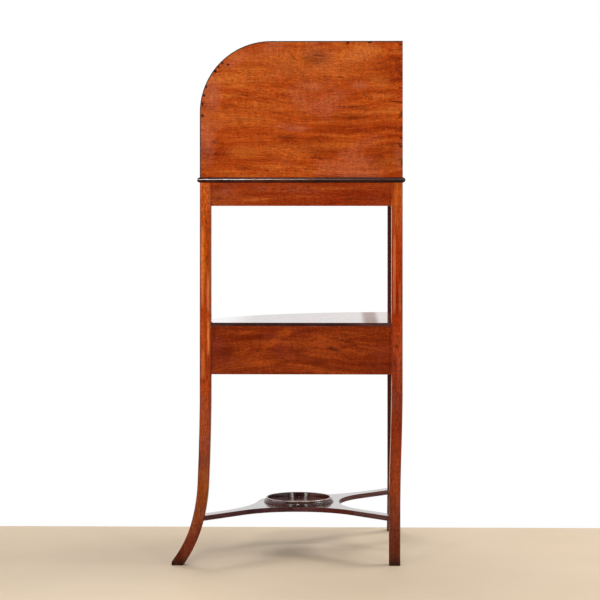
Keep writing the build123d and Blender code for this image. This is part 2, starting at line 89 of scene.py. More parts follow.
def addNode(tree, kind, inputs=None, **settings):
    node = tree.nodes.new(kind)
    for name, value in settings.items():
        setattr(node, name, value)
    for name, value in (inputs or {}).items():
        plug(tree, node.inputs[name], value)
    return node


def calc(tree, operation, *values, clamp=False):
    node = addNode(tree, "ShaderNodeMath", operation=operation, use_clamp=clamp)
    for socket, value in zip(node.inputs, values):
        plug(tree, socket, value)
    return node.outputs[0]


def calcVector(tree, operation, *values):
    node = addNode(tree, "ShaderNodeVectorMath", operation=operation)
    for socket, value in zip(node.inputs, values):
        plug(tree, socket, value)
    return node.outputs["Value" if operation in ("LENGTH", "DOT_PRODUCT") else "Vector"]


def spread(tree, value, low, high, newLow=0.0, newHigh=1.0, kind="SMOOTHSTEP"):
    inputs = {"Value": value, "From Min": low, "From Max": high, "To Min": newLow, "To Max": newHigh}
    return addNode(tree, "ShaderNodeMapRange", inputs, interpolation_type=kind).outputs["Result"]


def blendColor(tree, factor, first, second, mode="MIX"):
    node = addNode(tree, "ShaderNodeMix", data_type="RGBA", blend_type=mode)
    for index, value in ((0, factor), (6, first), (7, second)):
        plug(tree, node.inputs[index], value)
    return node.outputs[2]


def noise(tree, coords, stretch, detail=3.0, roughness=0.55, distortion=0.0):
    sized = addNode(tree, "ShaderNodeMapping", {"Vector": coords, "Scale": stretch}).outputs[0]
    inputs = {"Vector": sized, "Scale": 1.0, "Detail": detail, "Roughness": roughness,
              "Distortion": distortion}
    return addNode(tree, "ShaderNodeTexNoise", inputs).outputs[0]


def dotWith(tree, vector, way):
    return calcVector(tree, "DOT_PRODUCT", vector, way)


def surfaceNormal(tree):
    return addNode(tree, "ShaderNodeNewGeometry").outputs["Normal"]


def heightOf(tree, coords):
    return addNode(tree, "ShaderNodeSeparateXYZ", {"Vector": coords}).outputs["Z"]


def tint(code):
    linear = []
    for at in (0, 2, 4):
        value = int(code[at:at + 2], 16) / 255
        linear.append(value / 12.92 if value <= 0.04045 else ((value + 0.055) / 1.055) ** 2.4)
    return (*linear, 1.0)


def colorRamp(tree, factor, stops):
    node = addNode(tree, "ShaderNodeValToRGB", {"Fac": factor})
    band = node.color_ramp
    while len(band.elements) < len(stops):
        band.elements.new(0.5)
    for element, (place, code) in zip(band.elements, stops):
        element.position = place
        element.color = tint(code)
    return node.outputs[0]


def emptyMaterial(name):
    material = bpy.data.materials.new(name)
    material.use_nodes = True
    material.node_tree.nodes.clear()
    return material, material.node_tree


def newSurface(name, inputs):
    material, tree = emptyMaterial(name)
    shader = addNode(tree, "ShaderNodeBsdfPrincipled", inputs)
    output = addNode(tree, "ShaderNodeOutputMaterial")
    tree.links.new(shader.outputs[0], output.inputs["Surface"])
    coords = addNode(tree, "ShaderNodeTexCoord").outputs["Object"]
    return material, tree, shader, coords


def addBump(tree, shader, height, distance, strength=1.0):
    bump = addNode(tree, "ShaderNodeBump", {"Height": height, "Distance": distance, "Strength": strength})
    tree.links.new(bump.outputs[0], shader.inputs["Normal"])


# Wood. Each way of the grain has the turn that lays it along X, and its direction in the stand.
# Every board gets its own cut of the grain from the next seed.
grainTurns = {
    "right": ((0, 0, math.radians(45)), alongRight),
    "left": ((0, 0, math.radians(135)), alongLeft),
    "upright": ((0, math.radians(90), 0), (0, 0, 1)),
    "across": ((0, 0, 0), (1, 0, 0)),
    "deep": ((0, 0, math.radians(-90)), (0, 1, 0)),
}
# in each set of tones the pinkish one is partly the wood's colour and partly a painted sheen on the polish
mahogany = {"dark": "882b09", "low": "a43e0e", "middle": "b84b14", "light": "cd6626", "rosy": "bd603a",
            "pale": "d8722c", "pore": "581b08", "gloss": 0.16, "specular": 0.12, "coat": 0.0}
tones = {
    "panel": {**mahogany, "dark": "842a09", "low": "9d3c0e", "middle": "ae4814", "light": "be6124",
              "rosy": "b86444", "pale": "c86a28"},
    "leg": {**mahogany, "dark": "a73b0c", "low": "c25416", "middle": "d5641f", "light": "e87d34",
            "rosy": "c6704a", "pale": "e68240"},
    "frieze": {**mahogany, "dark": "84290c", "low": "903410", "middle": "983c15", "light": "a24b20",
               "rosy": "964430"},
    "apron": {**mahogany, "dark": "5f1a05", "low": "732506", "middle": "7d2c0b", "light": "963e14",
              "rosy": "803020", "pale": "ae4c16", "pore": "451307"},
    "shelf": {**mahogany, "dark": "54210d", "low": "6a2d12", "middle": "783617", "light": "8c4a20",
              "rosy": "75382a", "gloss": 0.1, "specular": 0.5, "coat": 0.2},
    "stretcher": {**mahogany, "dark": "2f191c", "low": "422629", "middle": "503033", "light": "614239",
                  "rosy": "543841", "gloss": 0.2},
    "stretcherTop": {**mahogany, "dark": "2f1416", "low": "40201e", "middle": "4a2725", "light": "5e342b",
                     "rosy": "4e2b30", "gloss": 0.12, "specular": 0.5, "coat": 0.7, "sheen": "f4dcc4"},
    "ring": {**mahogany, "dark": "1c0f0f", "low": "281716", "middle": "33201b", "light": "4a3326",
             "rosy": "332024", "gloss": 0.1, "specular": 0.45},
    "oak": {"dark": "84623c", "low": "99744a", "middle": "a58055", "light": "b89468", "rosy": "9d7852",
            "pale": "b89468", "pore": "664c2e", "gloss": 0.6, "specular": 0.25, "coat": 0.0},
}
# How the grain is drawn. Sets of three are scales of a noise along, through and up the board.
woodGrain = {
    "seedStep": (1.37, 0.71, 2.13),  # how far the next seed moves the cut
    "waves": (2.4, 5, 7),  # slow waves that bend the lines
    "waveReach": 0.05,
    "broad": (2.8, 12, 20),
    "bands": (6, 70, 110),
    "threads": (30, 260, 380),
    "broadShare": 0.42,
    "bandShare": 0.36,
    "threadShare": 0.22,
    "stops": (0.38, 0.46, 0.52, 0.61),
    "patches": (8, 10, 13),  # pinkish clouds, partly the wood's tone and partly painted sheen on the polish
    "fleck": (150, 430, 430),
    "ripple": (260, 40, 60),  # runs across the grain
    "pores": (60, 1300, 1700),
    "crowds": (9, 60, 90),  # where the pores are dense
    "streaks": (11, 210, 300),  # a few long pores
    "wear": (30, 60, 60),
    "nick": "1c0a06",
    "relief": 0.0002,
    "polished": 0.25,  # below this roughness the polish fills most of the pores
}
markDepth = 1000  # marks go right through the board
markCore = 0.2  # a mark has its full strength within this share of its reach
seeds = iter(range(1, 200))  # one for each wood material, in the order they are made


def markShade(tree, coords, mark):
    # one placed mark: its strength in its middle and 0 outside, in the board's own places
    along, high, halfLength, halfHeight, turn, strength = mark
    inputs = {"Vector": coords, "Location": (along, 0, high), "Rotation": (0, math.radians(-turn), 0),
              "Scale": (halfLength, markDepth, halfHeight)}
    local = addNode(tree, "ShaderNodeMapping", inputs, vector_type="TEXTURE").outputs[0]
    return spread(tree, calcVector(tree, "LENGTH", local), 1.0, markCore, 0.0, strength)


def markSum(tree, coords, marks):
    total = None
    for mark in marks:
        shade = markShade(tree, coords, mark)
        total = shade if total is None else calc(tree, "MAXIMUM", total, shade)
    return total


def band(tree, value, low, high, edge):
    # 1 between two limits and 0 beyond them
    rise = spread(tree, value, low - edge, low + edge)
    fall = spread(tree, value, high - edge, high + edge, 1.0, 0.0)
    return calc(tree, "MULTIPLY", rise, fall)


def bentGrain(tree, seeded, figure):
    # slow waves bend the lines of the grain
    wave = noise(tree, seeded, woodGrain["waves"], 2.0, 0.5)
    bend = calc(tree, "MULTIPLY", calc(tree, "SUBTRACT", wave, 0.5), woodGrain["waveReach"] * figure)
    offset = addNode(tree, "ShaderNodeCombineXYZ", {"Y": bend, "Z": bend}).outputs[0]
    return calcVector(tree, "ADD", seeded, offset)


def grainColor(tree, flow, threads, colors):
    # a broad figure, bands and fine threads, from dark to light
    broad = noise(tree, flow, woodGrain["broad"], 3.0, 0.55, 0.3)
    bands = noise(tree, flow, woodGrain["bands"], 4.0, 0.65)
    mixed = calc(tree, "ADD", calc(tree, "MULTIPLY", broad, woodGrain["broadShare"]),
                 calc(tree, "MULTIPLY", bands, woodGrain["bandShare"]))
    mixed = calc(tree, "ADD", mixed, calc(tree, "MULTIPLY", threads, woodGrain["threadShare"]))
    places = zip(woodGrain["stops"], ("dark", "low", "middle", "light"))
    return colorRamp(tree, mixed, [(place, colors[name]) for place, name in places])


def cloudedColor(tree, color, seeded, placed, threads, colors, marks):
    # pinkish clouds everywhere, partly the wood's tone and partly painted sheen, and the marks that a board
    # has at its own places
    patch = spread(tree, noise(tree, seeded, woodGrain["patches"], 2.0, 0.5, 0.5), 0.54, 0.74, 0.0, 0.45)
    if "rosy" in marks:
        patch = calc(tree, "MAXIMUM", patch, markSum(tree, placed, marks["rosy"]))
    color = blendColor(tree, patch, color, tint(colors["rosy"]))
    if "light" in marks:
        color = blendColor(tree, markSum(tree, placed, marks["light"]), color, tint(colors["pale"]))
    if "dark" in marks:
        ragged = spread(tree, threads, 0.35, 0.62, 1.0, 0.5)
        stain = calc(tree, "MULTIPLY", markSum(tree, placed, marks["dark"]), ragged)
        color = blendColor(tree, stain, color, tint(colors["pore"]))
    return color


def fleckedColor(tree, color, flow, seeded):
    # a fine fleck and a fainter ripple across the grain
    fleck = noise(tree, flow, woodGrain["fleck"], 3.0, 0.7)
    ripple = noise(tree, seeded, woodGrain["ripple"], 2.0, 0.5)
    lively = calc(tree, "MULTIPLY", spread(tree, fleck, 0.3, 0.7, 0.64, 1.38, "LINEAR"),
                  spread(tree, ripple, 0.3, 0.7, 0.88, 1.12, "LINEAR"))
    return blendColor(tree, 1.0, color, lively, "MULTIPLY")


def shortPores(tree, flow):
    # they lie along the grain, and crowd together here and there
    pore = noise(tree, flow, woodGrain["pores"], 1.0, 0.4)
    crowd = noise(tree, flow, woodGrain["crowds"], 2.0, 0.5)
    return calc(tree, "MULTIPLY", spread(tree, pore, 0.55, 0.68), spread(tree, crowd, 0.4, 0.66, 0.3, 0.85))


def woodMaterial(name, tone, grain, figure=1.0, marks=None, legLook=None, shift=None):
    colors = tones[tone]
    marks = marks or {}
    turn, grainWay = grainTurns[grain]
    inputs = {"Roughness": colors["gloss"], "Specular IOR Level": colors["specular"]}
    material, tree, shader, coords = newSurface(name, inputs)
    if colors["coat"] > 0:
        shader.inputs["Coat Weight"].default_value = colors["coat"]
        shader.inputs["Coat Roughness"].default_value = 0.06
    if "sheen" in colors:
        shader.inputs["Specular Tint"].default_value = tint(colors["sheen"])

    placed = addNode(tree, "ShaderNodeMapping", {"Vector": coords, "Rotation": turn}).outputs[0]
    if shift:
        placed = calcVector(tree, "ADD", placed, shift)
    seed = next(seeds)
    seeded = calcVector(tree, "ADD", placed, tuple(seed * step for step in woodGrain["seedStep"]))
    if grain == "upright":
        # marks are still noted on the right side as seen square on
        inputs = {"Vector": coords, "Rotation": grainTurns["right"][0]}
        placed = addNode(tree, "ShaderNodeMapping", inputs).outputs[0]
        placed = calcVector(tree, "ADD", placed, rightShift)

    flow = bentGrain(tree, seeded, figure)
    threads = noise(tree, flow, woodGrain["threads"], 3.0, 0.65)
    pores = shortPores(tree, flow)
    streak = noise(tree, flow, woodGrain["streaks"], 2.0, 0.5)
    color = grainColor(tree, flow, threads, colors)
    color = cloudedColor(tree, color, seeded, placed, threads, colors, marks)
    color = fleckedColor(tree, color, flow, seeded)
    color = blendColor(tree, pores, color, tint(colors["pore"]))
    color = blendColor(tree, spread(tree, streak, 0.6, 0.78, 0.0, 0.45), color, tint(colors["pore"]))
    if "nicks" in marks:
        color = blendColor(tree, markSum(tree, placed, marks["nicks"]), color, tint(woodGrain["nick"]))
    if legLook:
        color = legShades(tree, coords, color, legLook, threads)

    # end grain drinks the polish and looks darker
    facing = calc(tree, "ABSOLUTE", dotWith(tree, surfaceNormal(tree), grainWay))
    color = blendColor(tree, spread(tree, facing, 0.75, 0.97, 0.0, 0.7), color, tint(colors["pore"]))
    tree.links.new(color, shader.inputs["Base Color"])

    gloss = colors["gloss"]
    worn = noise(tree, seeded, woodGrain["wear"], 3.0, 0.6)
    tree.links.new(spread(tree, worn, 0.35, 0.7, gloss * 0.85, gloss * 1.25), shader.inputs["Roughness"])
    height = calc(tree, "SUBTRACT", calc(tree, "MULTIPLY", threads, 0.4), pores)
    addBump(tree, shader, height, woodGrain["relief"], 0.1 if gloss < woodGrain["polished"] else 0.5)
    return material


legWearAndShade = {
    "stripEdge": 0.0004,
    "stripFade": 0.012,
    # colour of the painted shade on a leg's inner face
    "inner": "3f1d22",
    "scuff": "22120c",
    "scuffBottom": 0.002,
    "scuffTop": 0.02,
}


def legShades(tree, coords, color, look, threads):
    # colour changes down a leg, partly the wood's tone and partly painted shade, with strips by its corners
    # that are partly wear and partly painted highlight and painted shade, and a painted shade on its inner
    # face
    high = heightOf(tree, coords)
    # the tint down the leg is partly the wood's tone and partly painted shade
    color = blendColor(tree, 1.0, color, colorRamp(tree, high, look["tint"]), "MULTIPLY")
    place = calc(tree, "ADD", dotWith(tree, coords, look["stripWay"]), cornerShift)
    for top, bottom, reach in look["sway"]:
        place = calc(tree, "SUBTRACT", place, spread(tree, high, top, bottom, 0.0, reach, "LINEAR"))
    # each strip is partly wear and partly painted light: a highlight where pale, shade where dark
    for near, far, strength, code, bottom, top in look["strips"]:
        across = band(tree, place, near, far, legWearAndShade["stripEdge"])
        strip = calc(tree, "MULTIPLY", across, band(tree, high, bottom, top, legWearAndShade["stripFade"]))
        strip = calc(tree, "MULTIPLY", strip, strength)
        strip = calc(tree, "MULTIPLY", strip, spread(tree, threads, 0.3, 0.65, 0.6, 1.0))
        color = blendColor(tree, strip, color, tint(code))
    # painted shade on the face that looks into the stand
    inner = dotWith(tree, surfaceNormal(tree), look["paintedShadeWay"])
    color = blendColor(tree, spread(tree, inner, 0.8, 0.95, 0.0, 0.85), color, tint(legWearAndShade["inner"]))
    low = spread(tree, high, legWearAndShade["scuffBottom"], legWearAndShade["scuffTop"], 0.9, 0.0)
    scuffed = calc(tree, "MULTIPLY", low, spread(tree, threads, 0.3, 0.6, 0.5, 1.0))
    return blendColor(tree, scuffed, color, tint(legWearAndShade["scuff"]))


ebony = {
    "wear": (12, 40, 40),
    "fine": (70, 700, 700),
    "specular": 0.2,
    "relief": 0.00005,
    "dullReach": 0.32,  # from the back corner
    "dullest": 3.4,
}


def ebonisedMaterial(name, grain, colors, gloss, relief=ebony["relief"], dullWay=None):
    # its colours go from dark to worn
    dark, middle, worn = colors
    inputs = {"Roughness": gloss, "Specular IOR Level": ebony["specular"]}
    material, tree, shader, coords = newSurface(name, inputs)
    inputs = {"Vector": coords, "Rotation": grainTurns[grain][0]}
    placed = addNode(tree, "ShaderNodeMapping", inputs).outputs[0]
    wear = noise(tree, placed, ebony["wear"], 4.0, 0.65)
    fine = noise(tree, placed, ebony["fine"], 3.0, 0.5)
    color = colorRamp(tree, wear, [(0.36, dark), (0.52, middle), (0.7, worn)])
    color = blendColor(tree, spread(tree, fine, 0.45, 0.7, 0.0, 0.5), color, tint(dark))
    tree.links.new(color, shader.inputs["Base Color"])
    roughness = spread(tree, wear, 0.4, 0.72, gloss, gloss * 1.9)
    if dullWay:
        # the polish is duller towards the back corner
        along = calc(tree, "ADD", dotWith(tree, coords, dullWay), cornerShift)
        dulling = spread(tree, along, 0.0, ebony["dullReach"], ebony["dullest"], 1.0)
        roughness = calc(tree, "MULTIPLY", roughness, dulling)
    tree.links.new(roughness, shader.inputs["Roughness"])
    addBump(tree, shader, fine, relief, 0.3)
    return material


def metalMaterial(name, bright, dull, roughness, grainScale):
    material, tree, shader, coords = newSurface(name, {"Metallic": 1.0, "Roughness": roughness})
    cloud = noise(tree, coords, (grainScale, grainScale, grainScale), 4.0, 0.6)
    scratch = noise(tree, coords, (grainScale * 3, grainScale * 3, grainScale * 30), 2.0, 0.5)
    color = colorRamp(tree, cloud, [(0.4, bright), (0.68, dull)])
    tree.links.new(color, shader.inputs["Base Color"])
    uneven = spread(tree, cloud, 0.4, 0.7, roughness * 0.8, roughness * 1.7)
    tree.links.new(uneven, shader.inputs["Roughness"])
    addBump(tree, shader, scratch, 0.00003, 0.4)
    return material


# Mesh helpers
mergeReach = 0.00001  # corners of a node nearer than this are one
flatTurn = 0.6  # faces of a node within this angle become one
arrisTurn = 35  # edges that turn by more than this are arrises


def finishPiece(name, mesh, nodeNames, material, smoothAngle=arrisTurn, topMaterial=None):
    data = bpy.data.meshes.new(name)
    mesh.to_mesh(data)
    mesh.free()
    data.materials.append(material)
    if topMaterial:
        data.materials.append(topMaterial)
    for polygon in data.polygons:
        polygon.use_smooth = True
        polygon.material_index = 1 if topMaterial and polygon.normal.z > 0.9 else 0
    data.set_sharp_from_angle(angle=math.radians(smoothAngle))
    piece = bpy.data.objects.new(name, data)
    bpy.context.scene.collection.objects.link(piece)
    even = piece.modifiers.new("evenShading", "WEIGHTED_NORMAL")
    even.weight = 100
    even.keep_sharp = True
    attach(piece, cadNodes[nodeNames[0]]["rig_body"])
    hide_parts(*nodeNames)


def easedCopy(node, ease, segments=2):
    # the node's own shape with its arrises taken off
    mesh = bmesh.new()
    mesh.from_mesh(cadNodes[node].data)
    bmesh.ops.remove_doubles(mesh, verts=mesh.verts, dist=mergeReach)
    bmesh.ops.dissolve_limit(mesh, angle_limit=math.radians(flatTurn), verts=mesh.verts, edges=mesh.edges)
    if ease > 0:
        steep = math.radians(arrisTurn)
        sharp = [e for e in mesh.edges if len(e.link_faces) == 2 and e.calc_face_angle(0) > steep]
        bmesh.ops.bevel(mesh, geom=sharp, offset=ease, offset_type="OFFSET", segments=segments, profile=0.5,
                        affect="EDGES", clamp_overlap=True, material=-1, loop_slide=True)
    return mesh


def turned(profile, steps):
    # spins points of radius and height, in millimetres, about Z
    mesh = bmesh.new()
    points = [mesh.verts.new((radius / 1000, 0, high / 1000)) for radius, high in profile]
    edges = [mesh.edges.new(pair) for pair in zip(points, points[1:])]
    bmesh.ops.spin(mesh, geom=points + edges, cent=(0, 0, 0), axis=(0, 0, 1), angle=math.radians(360),
                   steps=steps, use_merge=True)
    bmesh.ops.remove_doubles(mesh, verts=mesh.verts, dist=0.000001)
    bmesh.ops.recalc_face_normals(mesh, faces=mesh.faces)
    return mesh


def joined(parts):
    # several meshes as one, each with the place it goes to
    whole = bmesh.new()
    for part, place in parts:
        bmesh.ops.transform(part, matrix=place, verts=part.verts)
        data = bpy.data.meshes.new("loosePart")
        part.to_mesh(data)
        part.free()
        whole.from_mesh(data)
        bpy.data.meshes.remove(data)
    return whole


print("helpers ready")

# Marks are noted in pixels of the photograph, on the right side as seen square on: the middle across
# and down, half the length and half the height, a turn in degrees, and the strength.
photo = {"cornerX": 402.6, "floorY": 566, "metresPerPixel": 0.00212}


def photoMark(x, y, halfX, halfY, turn, strength):
    scale = photo["metresPerPixel"]
    along = (photo["cornerX"] - x) * scale
    high = (photo["floorY"] - y) * scale
    return along, high, halfX * scale, halfY * scale, turn, strength


def photoMarks(**lists):
    return {kind: [photoMark(*mark) for mark in marks] for kind, marks in lists.items()}


# Splashback panels
panel = {
    "figure": 1.8,
    "ease": 0.00018,
    "stringEase": 0.0003,
    "stringColors": ("1d0d0e", "2c1617", "4a2a20"),
    "stringGloss": 0.25,
}
panelMarks = photoMarks(
    dark=(
        (339.5, 77.4, 5.5, 1.6, 0, 0.74), (328, 78.6, 12, 1.1, -6, 0.37), (243, 95.4, 15, 1.0, 8, 0.85),
        (264, 99, 18, 1.2, 8, 0.6), (285, 103.5, 12, 1.4, 6, 0.41), (395, 102.3, 9, 1.2, 6, 0.66),
        (352, 108, 38, 3.0, 2, 0.5), (386, 158, 36, 20, 0, 0.42), (352, 117, 44, 5.0, 2, 0.45),
        (285, 137, 14, 4.2, 2, 0.6), (388, 145.5, 14, 3.2, 0, 0.6), (318, 158.5, 22, 1.5, 3, 0.65),
        (246, 169, 11, 3.6, 0, 0.6), (315, 58, 20, 12, 0, 0.7), (313, 64, 11, 3.6, 0, 0.35),
        (293, 57, 14, 1.7, 50, 0.5), (231, 106, 11, 2.8, 0, 0.5), (245, 120, 22, 1.6, 0, 0.45),
        (240, 128, 20, 1.4, 0, 0.25), (398, 68, 4.5, 15, 0, 0.33), (391, 74, 2.0, 10, -15, 0.37),
        (386, 66, 1.6, 9, -25, 0.25), (380, 162, 22, 1.4, 1, 0.8), (206, 158, 5, 22, 0, 0.25),
        (216, 141, 6, 2.0, 0, 0.45), (275, 113, 18, 1.6, 3, 0.25), (300, 88, 7, 1.2, 4, 0.2),
    ),
    light=(
        (350, 57, 26, 11, 0, 0.55), (245, 152, 28, 10, 0, 0.5), (312, 86, 22, 4, 0, 0.3),
        (366, 52, 26, 12, 0, 0.7), (378, 82, 18, 10, 10, 0.5), (335, 76, 22, 7, 6, 0.4),
        (330, 146, 44, 6, 0, 0.35), (237, 55, 14, 9, -20, 0.35), (388, 168, 16, 4, 0, 0.15),
        (310, 64, 96, 26, 3, 0.4), (375, 96, 24, 4, 4, 0.35), (290, 150, 50, 9, 2, 0.4),
    ),
    rosy=(
        (211, 94, 14, 28, 0, 0.55), (206, 140, 13, 38, 0, 0.5), (312, 87, 17, 7, 0, 0.5),
        (360, 86, 13, 6, 0, 0.5), (296, 129, 19, 5, 0, 0.45), (290, 127, 24, 5, 3, 0.35),
        (313, 54, 14, 8, 0, 0.5), (332, 173, 30, 5, 0, 0.3), (236, 60, 22, 9, -30, 0.4),
        (399, 156, 7, 20, 0, 0.3),
    ),
    nicks=(
        (228.2, 65.2, 2.0, 1.6, 0, 0.95), (222.3, 63.4, 2.4, 1.7, 35, 0.95),
        (218.4, 67.3, 2.4, 1.6, 45, 0.95), (215.2, 71.6, 3.4, 2.4, 45, 1.0),
        (205.9, 87.4, 1.6, 2.4, 60, 0.95), (203.9, 95.9, 2.2, 2.4, 70, 0.95),
        (202.4, 116, 2.0, 2.4, 0, 0.95), (202.6, 104.5, 1.6, 3.4, 0, 0.85), (214, 142, 2.0, 1.5, 0, 0.6),
        (216, 154, 2.2, 1.2, 0, 0.6), (347.6, 43.2, 2.6, 1.8, 0, 0.95), (369.8, 42.9, 3.4, 1.6, 0, 0.95),
        (219, 98, 1.8, 1.3, 0, 0.4), (396.5, 102.3, 4.5, 1.0, 4, 0.75), (399, 144, 4.0, 1.3, 0, 0.7),
        (401.2, 45.5, 2.4, 2.0, 0, 0.8), (401.4, 75, 1.8, 2.8, 0, 0.7), (401.4, 114, 1.8, 4.0, 0, 0.7),
        (401.6, 128.5, 1.6, 2.6, 0, 0.8), (401, 138.5, 2.0, 1.8, 0, 0.75), (400.8, 147, 2.6, 2.0, 0, 0.7),
        (401.8, 163, 1.6, 6.0, 0, 0.75),
    ),
)
panelRight = woodMaterial("panelRight", "panel", "right", panel["figure"], panelMarks, shift=rightShift)
panelLeft = woodMaterial("panelLeft", "panel", "left")
for name, material in (("splash_right", panelRight), ("splash_left", panelLeft)):
    mesh = easedCopy(name, panel["ease"])
    finishPiece(name.replace("splash", "splashPanel"), mesh, [name], material)

stringWood = ebonisedMaterial("stringWood", "across", panel["stringColors"], panel["stringGloss"])
for name in ("splash_string_right", "splash_string_left"):
    mesh = easedCopy(name, panel["stringEase"])
    finishPiece(name.replace("splash_string", "panelString"), mesh, [name], stringWood)
print("splashback made")

# Bead round the top board: a half round, worn a little flat on its upper shoulder, with mitred corners
bead = {
    "radius": 0.0055,
    "lowerAngles": [9 * n for n in range(-10, 0)],
    "upperAngles": [-3, 5.5, 6.5, 17, 18, 25, 33, 41, 50, 59, 68, 77, 84, 90],  # closer beside the flats
    "bowSteps": 96,
    "colors": ("1c0603", "360e06", "5c2814"),
    "gloss": 0.09,
    "relief": 0.00001,
}
beadMiddle = stand["legTop"] + bead["radius"]
beadPoints = []
for angle in bead["lowerAngles"] + bead["upperAngles"]:
    out = bead["radius"] * math.cos(math.radians(angle))
    beadPoints.append((out, beadMiddle + bead["radius"] * math.sin(math.radians(angle))))


def straightBead(swapped):
    # along the left back side, or along the right one when swapped
    mesh = bmesh.new()
    side = stand["side"]
    first = mesh.faces.new([mesh.verts.new((-out, -out, high)) for out, high in beadPoints])
    for vertex in bmesh.ops.extrude_face_region(mesh, geom=[first])["geom"]:
        if isinstance(vertex, bmesh.types.BMVert):
            vertex.co.x = side - vertex.co.y
    if swapped:
        for vertex in mesh.verts:
            vertex.co = (vertex.co.y, vertex.co.x, vertex.co.z)
    bmesh.ops.recalc_face_normals(mesh, faces=mesh.faces)
    bmesh.ops.transform(mesh, matrix=cornerToStand, verts=mesh.verts)
    return mesh


def bowBead():
    # a quarter turn between the two sides, with a short straight end at each mitre
    mesh = bmesh.new()
    side = stand["side"]
    row = [mesh.verts.new((side + out, -out, high)) for out, high in beadPoints]
    edges = [mesh.edges.new((row[n], row[(n + 1) % len(row)])) for n in range(len(row))]
    first = bmesh.ops.extrude_edge_only(mesh, edges=edges)["geom"]
    moved = [g for g in first if isinstance(g, bmesh.types.BMVert)]
    for vertex in moved:
        vertex.co.y = 0
    ends = [g for g in first if isinstance(g, bmesh.types.BMEdge)]
    spun = bmesh.ops.spin(mesh, geom=moved + ends, cent=(0, 0, 0), axis=(0, 0, 1), angle=math.radians(90),
                          steps=bead["bowSteps"])["geom_last"]
    lastEdges = [g for g in spun if isinstance(g, bmesh.types.BMEdge)]
    last = bmesh.ops.extrude_edge_only(mesh, edges=lastEdges)["geom"]
    for vertex in last:
        if isinstance(vertex, bmesh.types.BMVert):
            vertex.co.x = side - vertex.co.y
    bmesh.ops.holes_fill(mesh, edges=mesh.edges, sides=len(row))
    bmesh.ops.recalc_face_normals(mesh, faces=mesh.faces)
    bmesh.ops.transform(mesh, matrix=cornerToStand, verts=mesh.verts)
    return mesh


beadMeshes = {"right": straightBead(True), "left": straightBead(False), "bow": bowBead()}
for side, mesh in beadMeshes.items():
    grain = "across" if side == "bow" else side
    dullWay = {"right": alongRight, "left": alongLeft}.get(side)
    material = ebonisedMaterial("beadWood" + side, grain, bead["colors"], bead["gloss"], bead["relief"],
                                dullWay)
    finishPiece("topBead_" + side, mesh, ["top_bead_" + side], material)
print("bead made")

# Legs. The tints run up from the floor, each with its height, and are multiplied into the wood; they darken
# the legs partly as the wood's own tone and partly as painted shade.
frontTintAndShade = [
    (0.01, "706898"), (0.06, "8a7cbc"), (0.11, "b0c0ff"), (0.16, "bed2ff"), (0.225, "9e9cff"),
    (0.29, "c6b0b0"), (0.43, "c09aa0"), (0.49, "d8c4ca"), (0.56, "c89e98"), (0.65, "e0dcb4"),
    (0.72, "dcd0d0"), (0.79, "f6f4de"),
]
backTintAndShade = [
    (0.01, "6e6480"), (0.05, "7c6c74"), (0.11, "8e8ae0"), (0.17, "ac9ac2"), (0.29, "9c7072"),
    (0.35, "9a7ea8"), (0.42, "b89ef4"), (0.48, "c2a8cc"), (0.56, "b87e86"), (0.65, "e0a876"),
    (0.72, "d2c4fc"), (0.79, "e2e6ff"),
]
legMarks = {
    "front_leg_right": photoMarks(dark=(
        (207.6, 327, 1.8, 2.4, 0, 0.9), (207.2, 312, 1.4, 1.6, 0, 0.7), (203.5, 258, 0.7, 9, 0, 0.45),
        (205.5, 285, 0.8, 14, 0, 0.4), (201.8, 350, 1.2, 3, 0, 0.5), (206.5, 232, 0.6, 10, 0, 0.35),
        (204, 382, 2.5, 3, 0, 0.35), (208.5, 420, 1.0, 8, 0, 0.35),
    )),
    "back_leg": photoMarks(dark=(
        (396.2, 347, 3.4, 3.6, 0, 0.65), (397, 240, 0.8, 8, 0, 0.45), (394, 363, 2.2, 5, 0, 0.45),
        (399.4, 290, 0.7, 16, 0, 0.35), (397.5, 450, 2.5, 3, 0, 0.4), (400.5, 262, 0.8, 7, 0, 0.35),
    )),
}
# how far a leg sweeps out between two heights, so that the strips follow it
frontSway = ((0.4, 0.287, 0.00123), (0.287, 0.174, 0.0037), (0.174, 0.09, 0.0129), (0.09, 0.0, 0.0448))
# strips along a leg, at its arrises partly wear and partly painted highlight and painted shade: near and far
# edge from the back corner, strength, colour, and lowest and highest
frontWearAndPaintedLightStrips = (
    (0.4274, 0.4330, 0.55, "5a2a18", 0.0, 0.82), (0.4050, 0.4086, 0.6, "5a2420", 0.0, 0.82),
    (0.4086, 0.4110, 0.3, "7a3a30", 0.53, 0.82), (0.4218, 0.4274, 0.4, "ee9450", 0.55, 0.72),
    (0.4190, 0.4274, 0.4, "de7e42", 0.40, 0.455), (0.4158, 0.4200, 0.5, "8e3606", 0.42, 0.62),
    (0.4100, 0.4150, 0.4, "ea9862", 0.54, 0.61), (0.4098, 0.4140, 0.55, "f09850", 0.45, 0.52),
    (0.4083, 0.4185, 0.35, "7c2c0c", 0.395, 0.44),
)
